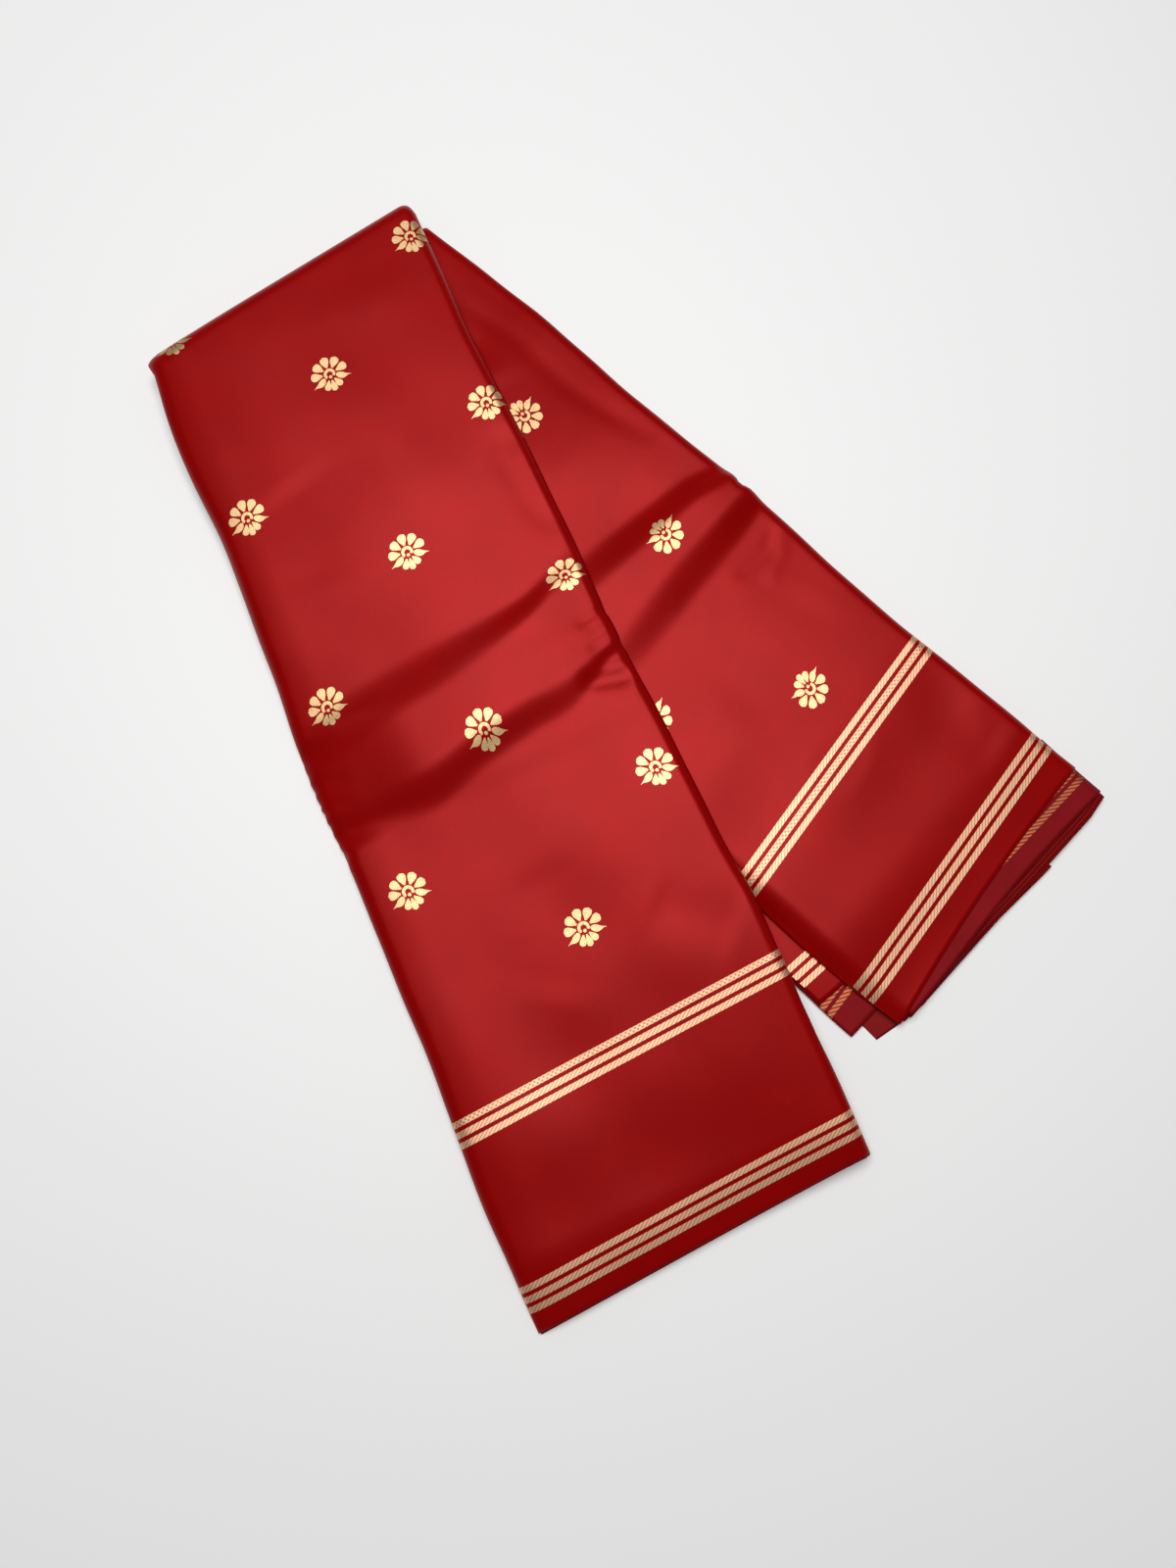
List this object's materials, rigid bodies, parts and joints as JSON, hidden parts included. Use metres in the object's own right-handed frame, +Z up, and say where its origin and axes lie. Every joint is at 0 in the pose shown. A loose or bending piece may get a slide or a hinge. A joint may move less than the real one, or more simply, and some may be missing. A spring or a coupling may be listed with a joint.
{
  "type": "saree",
  "caption": "Silk saree folded lengthwise into a flat strip and doubled over once, its two legs fanned apart, lying flat.",
  "frame": {"origin": "middle of the outline's box in plan, on the surface that the saree lies on", "axes": "+Z up from that surface, +Y towards the fold, +X to the side that the under leg fans out to"},
  "size_m": [0.5216, 0.6078, 0.0248],
  "materials": {
    "satin": "red satin silk with woven gold",
    "layers": "red satin silk, folded edges",
    "wrong_side": "dull wrong side of the satin"
  },
  "bodies": {
    "root": {"under_layers": "layers", "under_panel": "satin", "end_leaf": "wrong_side", "lower_leaf_right_side": "satin", "lower_leaf_wrong_side": "wrong_side", "top_layers": "layers", "top_panel": "satin", "fold_turn": "satin"}
  },
  "joints": []
}
